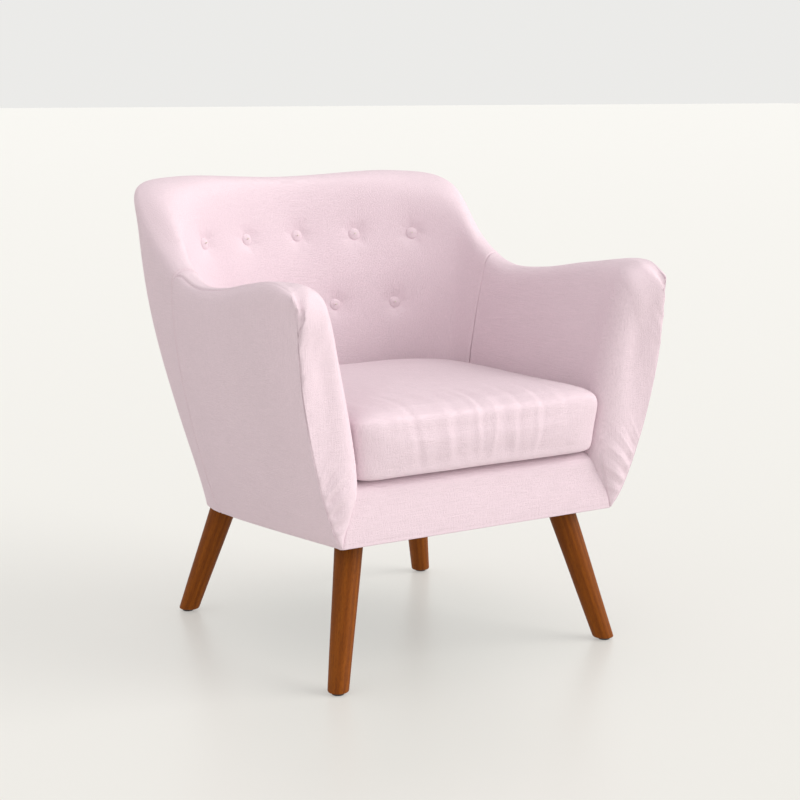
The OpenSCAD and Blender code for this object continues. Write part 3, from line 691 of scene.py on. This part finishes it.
# height on the seam, height of the fold, reach, slope and half width, in mm
WRINKLES = [
    (262, 1.6, 40, 0.42, 2.6), (271, -1.5, 46, 0.5, 2.4), (280, 2.0, 52, 0.58, 2.8), (290, -1.8, 56, 0.66, 2.6),
    (300, 2.2, 58, 0.74, 3.0), (311, -1.7, 56, 0.8, 2.8), (322, 1.8, 52, 0.86, 3.2), (335, -1.2, 46, 0.9, 3.4),
    (350, 1.0, 40, 0.95, 4.0), (455, 0.5, 26, 0.9, 4.0), (500, -0.6, 24, 0.9, 3.4), (512, 0.9, 26, 0.9, 2.8),
    (524, -0.9, 27, 0.9, 2.6), (535, 1.2, 28, 0.9, 2.6), (546, -1.1, 27, 0.9, 2.6), (557, 1.2, 26, 0.85, 2.6),
    (569, -0.8, 24, 0.8, 2.8), (581, 0.7, 22, 0.75, 3.0)]
RAIL_Z, RAIL_H, RAIL_W, RAIL_BACK = 236, 108, 262, -212     # foot, height, half width and rear edge


def rail_pts(ts, xs):
    T, X = np.meshgrid(ts, xs, indexing="ij")
    edge = rail_edge(np.minimum(1.0545 * T - 1, 0))
    y = mix(edge[..., 1] + 0.2, RAIL_BACK, step01((T - 0.8) / 0.2))
    return vec(X * (edge[..., 0] - 0.3), y, np.minimum(RAIL_Z + T * RAIL_H, DECK_Z - 1))


def front_rail():
    ts = np.unique(np.concatenate([lines(0, 0.8, STEP * 0.8, [0], RAIL_H), np.linspace(0.8, 1, 9)]))
    xs = lines(-1, 1, STEP * 1.1, [-1, 1], RAIL_W)
    p = rail_pts(ts, xs)
    # round the top edge
    for _ in range(10):
        p[1:-1] = 0.5 * p[1:-1] + 0.25 * (p[:-2] + p[2:])
    n = normals(p, False)
    a, b = arcs(p)
    h = groove(sides(b), 1.2, 1.8) + 0.6 * loft_noise(p)
    h += 1.6 * np.sin(np.pi * np.clip(a / 95, 0, 1)) ** 0.6
    # hem line near the lower edge: the cover turns under the rail there
    h += -0.8 * np.exp(-((a - 5.5) / 1.4) ** 2)
    h += 0.25 * noise(p, (26, 60, 60), 51) * np.exp(-(a / 40) ** 2)
    return shell("front_rail_cloth", p + n * h[..., None], n)


STITCH, PITCH, STITCH_R = 3.0, 4.2, 0.33      # length, spacing and half thickness


def loop_stitches(name, rows):
    """Rows of short raised stitches; each row is (points, normals) in mm, and each stitch is a small rounded bar."""
    verts, faces = [], []
    prof = [(-0.5, 0.25), (-0.42, 0.75), (-0.2, 1.0), (0.2, 1.0), (0.42, 0.75), (0.5, 0.25)]
    for pts, nor in rows:
        arc = np.concatenate([[0], np.cumsum(np.linalg.norm(np.diff(pts, axis=0), axis=1))])
        at = np.arange(PITCH, arc[-1] - PITCH, PITCH * (1))
        c, f, nn = [np.stack([np.interp(x, arc, y[:, i]) for i in range(3)], -1)
                    for x, y in ((at, pts), (at + 0.5, pts), (at, nor))]
        for o, t, m in zip(c, unit(f - c), nn):
            m = unit(m - t * (m @ t))
            w = np.cross(t, m)
            faces += rings_to_faces(len(prof), 6, len(verts))
            for pos, r in prof:
                for ang in np.arange(6) * math.pi / 3:
                    ring = (w * math.cos(ang) + m * math.sin(ang)) * STITCH_R * r
                    verts.append(o + t * pos * STITCH + ring + m * (0.2 * r - 0.05))
    return make_mesh(name, metres(np.array(verts)), faces)


def seam_rows():
    """The seams between arms and back, just above the cloth, as (points, normals)."""
    pts, nor = [], []
    for s in np.linspace(0.02, 2.98, 100):
        u = seam_u(s) + 0.055
        du = body_base.points(u + 0.03, s) - body_base.points(u - 0.03, s)
        ds = body_base.points(u, min(3, s + 0.01)) - body_base.points(u, max(0, s - 0.01))
        nor.append(-unit(np.cross(du, ds)))
        pts.append(body_base.points(u, s) + nor[-1] * 0.35)
    pts, nor = np.array(pts), np.array(nor)
    return [(pts, nor), (mirrored(pts), mirrored(nor))]


# ------------------------------------------------------------------ build the body
def cover(ob, names):
    dress(ob, "chair", fabric, names)


cover(inside_back(), ("inside_back_cover", "back_foam"))
cover(outside_back(), ("outside_back_panel", "outside_back_pad"))
for end in ("left", "right"):
    cover(outside_arm(end == "left"), (f"outside_arm_panel_{end}", f"outer_pad_{end}"))
    cover(inside_arm(end == "left"), (f"inside_arm_cover_{end}", f"arm_foam_{end}", f"arm_front_pad_{end}"))
cover(front_rail(), ("front_rail_cover", "front_rail_pad"))
dress(loop_stitches("seam_stitches", seam_rows()), "chair", thread)


def buttons():
    """Covered buttons: a domed cap of cloth gathered over a rounded rim, drawn down into the padding."""
    r0, sunk = 11.5, 8.6
    prof = [(0.0, 4.6), (3.0, 4.5), (6.0, 4.15), (8.4, 3.5), (10.1, 2.6), (11.1, 1.5), (r0, 0.3), (11.2, -0.8),
            (10.0, -1.8), (7.0, -2.2), (0.0, -2.2)]
    verts, faces = [], []
    seg = 48
    for k, (c, n) in enumerate(BUTTONS):
        across, up = button_axes(n)
        o = c - n * sunk
        faces += rings_to_faces(len(prof), seg, len(verts), caps=False)
        for r, z in prof:
            for th in np.arange(seg) * 2 * math.pi / seg:
                rr = r + (0.16 * math.cos(12 * th + k) * max(0.0, (r - 7) / 4.5) if z < 4 else 0.0)
                rise = z + 0.12 * math.sin(2 * th + k) * (r / r0)
                verts.append(o + across * rr * math.cos(th) + up * rr * math.sin(th) + n * rise)
    return make_mesh("covered_buttons", metres(np.array(verts)), faces, merge=3e-5)


cover(buttons(), ("back_buttons",))


# ------------------------------------------------------------------ deck cloth and dust cover
def flat_cloth(name, outline, z_of, holes, cell, thick, dip, seed):
    """A stretched cloth cut to outline: a filled polygon, cut into small cells, with a slight sag and unevenness."""
    bm = bmesh.new()
    bm.faces.new([bm.verts.new((x, y, 0)) for x, y in outline])
    lo, hi = np.min(outline, axis=0), np.max(outline, axis=0)
    for axis, no in enumerate(((1, 0, 0), (0, 1, 0))):
        for c in np.arange(lo[axis] + cell, hi[axis], cell):
            bmesh.ops.bisect_plane(bm, geom=bm.verts[:] + bm.edges[:] + bm.faces[:],
                                   plane_co=[c * x for x in no], plane_no=no)
    gone = [f for f in bm.faces
            if any((Vector((hx, hy)) - f.calc_center_median().xy).length < hr for hx, hy, hr in holes)]
    bmesh.ops.delete(bm, geom=gone, context="FACES")
    bmesh.ops.remove_doubles(bm, verts=bm.verts, dist=0.05)
    # round off the holes
    for v in [v for v in bm.verts if v.is_boundary]:
        for hx, hy, hr in holes:
            d = v.co.xy - Vector((hx, hy))
            if 0 < d.length < hr * 1.35:
                v.co.xy = Vector((hx, hy)) + d.normalized() * hr
    cx, cy = (lo + hi) / 2
    half = (hi - lo) / 2
    for v in bm.verts:
        x, y = v.co.x, v.co.y
        bowl = max(0.0, 1 - ((x - cx) / half[0]) ** 2) * max(0.0, 1 - ((y - cy) / half[1]) ** 2)
        v.co.z = z_of(x, y) + dip * bowl + 0.5 * float(noise(np.array([x, y, 0.0]), 60, seed)) * bowl
    geom = bmesh.ops.extrude_face_region(bm, geom=bm.faces[:])
    for v in [g for g in geom["geom"] if isinstance(g, bmesh.types.BMVert)]:
        v.co.z += thick
    bmesh.ops.recalc_face_normals(bm, faces=bm.faces)
    for v in bm.verts:
        v.co = Vector(metres(np.array(v.co)))
    me = bpy.data.meshes.new(name)
    bm.to_mesh(me)
    bm.free()
    me.polygons.foreach_set("use_smooth", [True] * len(me.polygons))
    return add_object(name, me)


deck_line = [(-236, -209), (236, -209), (239, 100), (224, 182), (192, 208),
             (130, 230), (-130, 230), (-192, 208), (-224, 182), (-239, 100)]
deck = flat_cloth("deck_cloth_sheet", deck_line, lambda x, y: DECK_Z - 1.0, [], 12.0,
                  0.8, -1.0, 61)
dress(deck, "chair", deck_mat, ("deck_cloth",))

FRONT_LEG = ((270.0, -235), (-0.247, 0.247))     # foot of the right leg, and how far its axis leans per mm of height
REAR_LEG = ((256.0, 318), (-0.255, -0.255))
uu = np.linspace(0, 16, 97)
dust_line = np.stack([0.984 * row_x(LOWER[0], uu), 0.984 * (row_y(LOWER[1], uu) + 248) + 4.5 - 248], -1)
# a hole for each leg, where its axis passes through the cloth
holes = [(m * (foot[0] + lean_[0] * h), foot[1] + lean_[1] * h, 25.5)
         for (foot, lean_), h in ((FRONT_LEG, 231.0), (REAR_LEG, 213.0)) for m in (-1, 1)]
dust = flat_cloth("dust_cover_sheet", [tuple(v) for v in dust_line], lambda x, y: float(fall(np.array(y))) + 0.4,
                  holes, 10.0, 0.6, 1.5, 71)
dress(dust, "chair", dust_mat, ("dust_cover",))

# ------------------------------------------------------------------ loose seat cushion
CUSHION_HALF = [[0, -257], [120, -257.5], [215, -254], [236, -243], [242.5, -215], [243, -140], [243.5, -40],
                [243, 50], [241, 110], [234, 160], [213, 195], [175, 219], [125, 234], [60, 234]]
CUSHION_Z = 336.5
# the cushion's profile from the middle of its base to the middle of its top: inset from the outline, and height
ROWS = [[240, 0], [180, 0], [120, 0], [60, 0], [24, 0], [10, 0.6], [3.5, 3], [0.8, 9], [-0.4, 20], [-1.6, 36],
        [-3.6, 54], [-5.8, 72], [-6.4, 84], [-4.4, 94], [1.5, 101], [12, 106], [30, 110], [56, 114], [90, 118],
        [120, 121], [180, 124], [240, 125]]


def cushion_outline(count):
    half = CUSHION_HALF
    ring = half + [[0, 234]] + [[-x, y] for x, y in reversed(half[1:])]
    p = np.array(ring, float)
    n = len(p)
    seg = np.linalg.norm(np.roll(p, -1, axis=0) - p, axis=1)
    arc = np.concatenate([[0], np.cumsum(seg)])
    t = np.linspace(0, arc[-1], count, endpoint=False)
    i = np.clip(np.searchsorted(arc, t, side="right") - 1, 0, n - 1)
    f = ((t - arc[i]) / seg[i])[:, None]
    a, b, c, d = p[(i - 1) % n], p[i], p[(i + 1) % n], p[(i + 2) % n]
    q = 0.5 * (2 * b + (c - a) * f + (2 * a - 5 * b + 4 * c - d) * f * f + (3 * b - a - 3 * c + d) * f ** 3)
    return ring_ease(q, 4)


def cushion_start():
    out = cushion_outline(200)
    verts = []
    for inset, z in ROWS:
        k = 1 - min(239.0, inset + (1 if inset < 100 else 0)) / 240
        verts += [(x * k, (y + 12) * k - 12, CUSHION_Z + z * (1 - 0.012) + 0.5) for x, y in out]
    return make_mesh("seat_cushion", metres(np.array(verts)), rings_to_faces(len(ROWS), len(out)))


def coords(ob, what="co"):
    co = np.zeros(len(ob.data.vertices) * 3)
    ob.data.vertices.foreach_get(what, co)
    return co.reshape(-1, 3)


def puff(ob):
    """Inflate the cushion with a short cloth simulation, and keep no vertex's move above the cap."""
    bpy.context.view_layer.objects.active = ob
    for o in bpy.context.selected_objects:
        o.select_set(False)
    ob.select_set(True)
    ob.data.remesh_voxel_size = 0.0055
    bpy.ops.object.voxel_remesh()
    start = coords(ob)
    mod = ob.modifiers.new("cloth", "CLOTH")
    s = mod.settings
    s.use_pressure, s.uniform_pressure_force = True, 3.0
    s.quality, s.mass, s.tension_stiffness, s.compression_stiffness = 5, 0.25, 18, 18
    s.shear_stiffness, s.bending_stiffness, s.air_damping = 8, 0.6, 3.0
    s.effector_weights.gravity = 0
    mod.collision_settings.use_collision = False
    mod.point_cache.frame_start, mod.point_cache.frame_end = 1, 20
    for f in range(1, 21):
        bpy.context.scene.frame_set(f)
    end = coords(ob.evaluated_get(bpy.context.evaluated_depsgraph_get()))
    ob.modifiers.remove(mod)
    bpy.context.scene.frame_set(1)
    move = end - start - (end - start).mean(0)
    pairs = np.zeros(len(ob.data.edges) * 2, int)
    ob.data.edges.foreach_get("vertices", pairs)
    pairs = np.concatenate([pairs.reshape(-1, 2), pairs.reshape(-1, 2)[:, ::-1]])
    share = np.bincount(pairs[:, 0], minlength=len(move))[:, None]
    for _ in range(16):
        near = np.stack([np.bincount(pairs[:, 0], move[pairs[:, 1], i], len(move)) for i in range(3)], -1)
        move = 0.4 * move + 0.6 * near / share
    far = np.linalg.norm(move, axis=1, keepdims=True)
    move *= np.minimum(1, 0.004 / np.maximum(far, 1e-9))
    ob.data.vertices.foreach_set("co", (start + 0.8 * move).ravel())
    ob.data.update()


cushion = cushion_start()
puff(cushion)
bpy.context.view_layer.objects.active = cushion
sub = cushion.modifiers.new("fine", "SUBSURF")
sub.levels = sub.render_levels = 1
bpy.ops.object.select_all(action="DESELECT")
cushion.select_set(True)
bpy.ops.object.modifier_apply(modifier="fine")
# the folds over the front edge: place across the cushion, half width and height, in mm
FOLDS = [(-186, 7, .4), (-160, 6, .5), (-144, 5, .8), (-131, 5, -.8), (-118, 5, .9), (-96, 7, -.8), (-74, 6, 1.0),
         (-54, 7, -1.0), (-35, 5, .6), (-18, 5, 1.2), (-4, 5, -1.3), (11, 5, 1.3), (33, 7, -.9), (52, 5, 1.0),
         (65, 5, -1.0), (79, 6, .6), (94, 5, 1.0), (106, 5, -.9), (130, 7, .6), (152, 6, -.6),
         (176, 7, .5), (200, 7, -.4)]


def finish_cushion(ob):
    """Settle the cushion flat on the deck, keep it between the arms, and add its folds."""
    co = coords(ob) * 1000 + np.array([0, Y_MID, 0])
    nr = coords(ob, "normal")
    x, y, z = co.T
    # folds that run from the top over the front edge and down the front, fanning from the middle
    h = np.clip((z - 340) / 110, 0, 1)
    front_ = step01((-(y + 130)) / 90)
    lane = x / (1 + 0.10 * h) + 10 * noise(np.stack([x * 0, y, z], -1), 70, 81)
    fold_ = 0
    for c, wdt, amp in FOLDS:
        wob = 2.5 * np.sin(z / 27.0 + c) + 2.0 * np.sin(y / 37.0 + 2 * c)
        ends = 0.75 + 0.35 * np.sin(z / 34.0 + 3.1 * c)
        fold_ = fold_ + amp * ends * np.exp(-((lane - c - wob) / (wdt + 0.8)) ** 2)
    over_edge = np.exp(-((z - 420) / 60) ** 2)
    puffed = 1.35 * fold_ * front_ * (0.55 + 0.45 * over_edge) * step01((z - 342) / 24)
    puffed += 0.5 * noise(co, (90, 90, 200), 83) + 0.08 * noise(co, 26, 85) * step01((z - 350) / 30)
    # slight pucker above the lower seam
    puffed += 0.35 * noise(co, (13, 13, 50), 87) * np.exp(-((z - 347) / 12) ** 2)
    # a dip worn in by sitting, and the crown round it
    top_ = step01((nr[:, 2] - 0.5) / 0.4)
    puffed += -2.0 * top_ * np.exp(-(x / 140) ** 2 - ((y + 10) / 130) ** 2)
    co += nr * puffed[:, None]
    # keep clear of the arms, back and deck
    k = np.clip((co[:, 2] - 336) / 285, 0, 1)
    wide = 240.6 + 57 * k ** 1.25
    co[:, 0] = np.clip(co[:, 0], -wide, wide)
    co[:, 1] = np.minimum(co[:, 1], 234.3 + 0.06 * np.clip(co[:, 2] - 350, 0, 40))
    co[:, 2] = np.maximum(co[:, 2], CUSHION_Z + 0.1)
    ob.data.vertices.foreach_set("co", metres(co).ravel())
    ob.data.update()
    ob.data.polygons.foreach_set("use_smooth", [True] * len(ob.data.polygons))


finish_cushion(cushion)


def seam_roll(name, tree, z=340.5, across=0.9, along=1.3, inset=0.35):
    """A thin rolled seam that follows the cushion's skin at height z."""
    pts, nrm = [], []
    cen = np.array([0.0, -12.0])
    for d in unit(cushion_outline(420) - cen):
        origin = Vector(metres(np.array([*(cen + d * 400), z])))
        hit, n, _, _ = tree.ray_cast(origin, Vector((-d[0], -d[1], 0)))
        if hit is not None:
            pts.append(np.array(hit) * 1000)
            nrm.append(np.array(n))
    pts, nrm = ring_ease(np.array(pts), 3), unit(ring_ease(np.array(nrm), 3))
    bi = np.cross(unit(np.roll(pts, -1, axis=0) - np.roll(pts, 1, axis=0)), nrm)
    verts = []
    for i in range(len(pts)):
        size = across * (1 + 0.06 * math.sin(i * 1.9))
        for a in np.arange(8) * math.pi / 4:
            verts.append(pts[i] + nrm[i] * (math.cos(a) * size - inset) + bi[i] * math.sin(a) * along)
    return make_mesh(name, np.array(verts) * 0.001, rings_to_faces(len(pts), 8, closed=True))


bm_ = bmesh.new()
bm_.from_mesh(cushion.data)
seam_low = seam_roll("cushion_lower_seam", BVHTree.FromBMesh(bm_))
bm_.free()
dress(cushion, "cushion", fabric,
      ("cushion_top_cover", "cushion_bottom_cover", "cushion_core"))
dress(seam_low, "cushion", fabric)


def zipper():
    """Two woven tapes with rolled lips and a coil of teeth between them."""
    verts, faces = [], []
    lo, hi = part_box("zip_tape")
    zc, y0 = (lo.z + hi.z) * 500, lo.y * 1000 + Y_MID
    xs = np.linspace(lo.x * 1000, hi.x * 1000, 110)
    prof = [(9.8, 0.1), (9.8, 0.55), (6, 0.6), (2.6, 0.65), (1.7, 1.0), (1.2, 0.7), (1.2, 0.1)]
    for sgn in (-1, 1):
        faces += rings_to_faces(len(xs), len(prof), len(verts))
        for x in xs:
            w = 0.12 * math.sin(x / 9.0)
            verts += [(x, y0 + d + (w if d > 0.3 else 0), zc + sgn * h) for h, d in prof]
    tapes = make_mesh("zip_tapes", metres(np.array(verts)), faces)
    verts, faces = [], []
    for i, x in enumerate(np.arange(xs[0] + 3, xs[-1] - 3, 1.5)):
        # each tooth is a small block, wider at its foot; every other one stands a little higher
        faces += rings_to_faces(2, 4, len(verts))
        shift = 0.25 if i % 2 else -0.25
        for end in (-1, 1):
            verts += [(x + dx, y0 + dy, zc + end * dz + shift)
                      for dx, dy, dz in ((-.45, .15, 1.1), (.45, .15, 1.1), (.45, .9, .8), (-.45, .9, .8))]
    return tapes, make_mesh("zip_teeth", metres(np.array(verts)), faces)


tapes, teeth = zipper()
dress(tapes, "cushion", tape_mat, ("zip_tape",))
dress(teeth, "cushion", thread)

# ------------------------------------------------------------------ legs
def leg(name, left, rear):
    """A turned, tapered leg with both ends cut level and the foot's edge eased; its own Z runs along the grain."""
    lo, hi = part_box(name)
    foot, axis = REAR_LEG if rear else FRONT_LEG
    foot, axis = np.array([*foot, 0.0]), np.array([*axis, 1.0])
    h_top, h_low = hi.z * 1000, lo.z * 1000
    if left:
        foot[0] *= -1
        axis[0] *= -1
    full = h_top * np.linalg.norm(axis)
    axis = unit(axis)
    e1 = unit(np.cross(axis, [0, 1, 0]))
    e2 = np.cross(axis, e1)
    r0, g = 16.5 + 7.5 * 20 / (full + 40), 7.5 / (full + 40)
    seg = 72
    ease = 3.0
    hs = np.concatenate([h_low + ease * np.array([0, 0.04, 0.15, 0.33, 0.6, 1.0]),
                         np.linspace(h_low + 8, h_top, 34)])
    verts = []
    for h in hs:
        cut = ease - math.sqrt(max(0.0, ease ** 2 - max(0.0, ease - (h - h_low)) ** 2))
        for th in np.arange(seg) * 2 * math.pi / seg:
            e = e1 * math.cos(th) + e2 * math.sin(th)
            a = (h - r0 * e[2]) / (axis[2] + g * e[2])
            r = r0 + g * a - cut + 0.12 * math.sin(a / 31.0 + th)
            verts.append(foot + axis * a + e * r)
    verts = np.array(verts)
    verts[:, 2] = np.repeat(hs, seg)
    frame_ = Matrix.Translation(Vector(metres(foot))) @ Matrix([e1, e2, axis]).transposed().to_4x4()
    ob = make_mesh("turned_" + name, metres(verts), rings_to_faces(len(hs), seg))
    mat = wood_mat("stained_wood_" + name, *STAIN, turn=tuple(frame_.inverted().to_euler("XYZ")),
                   shift=(0.31 * foot[0] / 256, 0.17 * foot[1] / 300, 0.2))
    for p in ob.data.polygons:
        if len(p.vertices) > 4:
            p.use_smooth = False
    dress(ob, "chair", mat, (name,))


for side_ in ("left", "right"):
    for end in ("front", "rear"):
        leg(f"leg_{end}_{side_}", side_ == "left", end == "rear")

# ------------------------------------------------------------------ materials of the CAD parts that stay
for name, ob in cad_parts.items():
    if ob.hide_render:
        continue
    mat = timber_mat
    if name.startswith("glide"):
        mat = glide_mat
    elif name in ("hanger_bolts", "bolt_nuts", "zip_slider"):
        mat = zinc_mat
    elif "webbing" in name:
        mat = web_mat
    elif "foam" in name or "pad" in name:
        mat = foam_mat
    elif "twine" in name:
        mat = twine_mat
    ob.data.materials.clear()
    ob.data.materials.append(mat)

# ------------------------------------------------------------------ floor, light and camera
bm_ = bmesh.new()
bmesh.ops.create_grid(bm_, x_segments=8, y_segments=8, size=80.0)
floor_me = bpy.data.meshes.new("studio_floor")
bm_.to_mesh(floor_me)
bm_.free()
floor = add_object("studio_floor", floor_me)
paint = Net("floor_paint")
paint.surface(Base_Color=(0.40, 0.393, 0.372, 1), Emission_Color=(1.0, 0.985, 0.94, 1), Emission_Strength=0.36,
              Roughness=0.34, Specular_IOR_Level=0.35)
floor_me.materials.append(paint.mat)

world = bpy.data.worlds.new("studio")
bpy.context.scene.world = world
world.use_nodes = True
sky = world.node_tree.nodes["Background"].inputs
sky["Color"].default_value, sky["Strength"].default_value = (0.97, 0.965, 0.945, 1), 0.86


def sun_lamp(name, loc, power, spread, col):
    data = bpy.data.lights.new(name, "SUN")
    data.energy, data.angle, data.color = power, math.radians(spread), col
    add_object(name, data).rotation_euler = (-Vector(loc)).to_track_quat("-Z", "Y").to_euler()


sun_lamp("key", (3.3, -2.9, 2.1), 2.15, 50, (1.0, 0.985, 0.965))
sun_lamp("fill_left", (-3.6, -1.2, 1.2), 0.35, 90, (1.0, 0.965, 0.985))

cam_data = bpy.data.cameras.new("camera")
cam_data.sensor_width = 36.0
cam_data.lens = 1821.93 * 36.0 / 800
cam = add_object("camera", cam_data)
az, el, dist = math.radians(-33.092), math.radians(9.726), 3.145
target = Vector((0, -Y_MID / 1000, 0.412))
cam.location = target + dist * Vector((math.sin(az) * math.cos(el), -math.cos(az) * math.cos(el), math.sin(el)))
cam.rotation_euler = (target - cam.location).to_track_quat("-Z", "Y").to_euler()
bpy.context.scene.camera = cam
bpy.context.scene.view_settings.view_transform = "Standard"

bpy.context.view_layer.update()
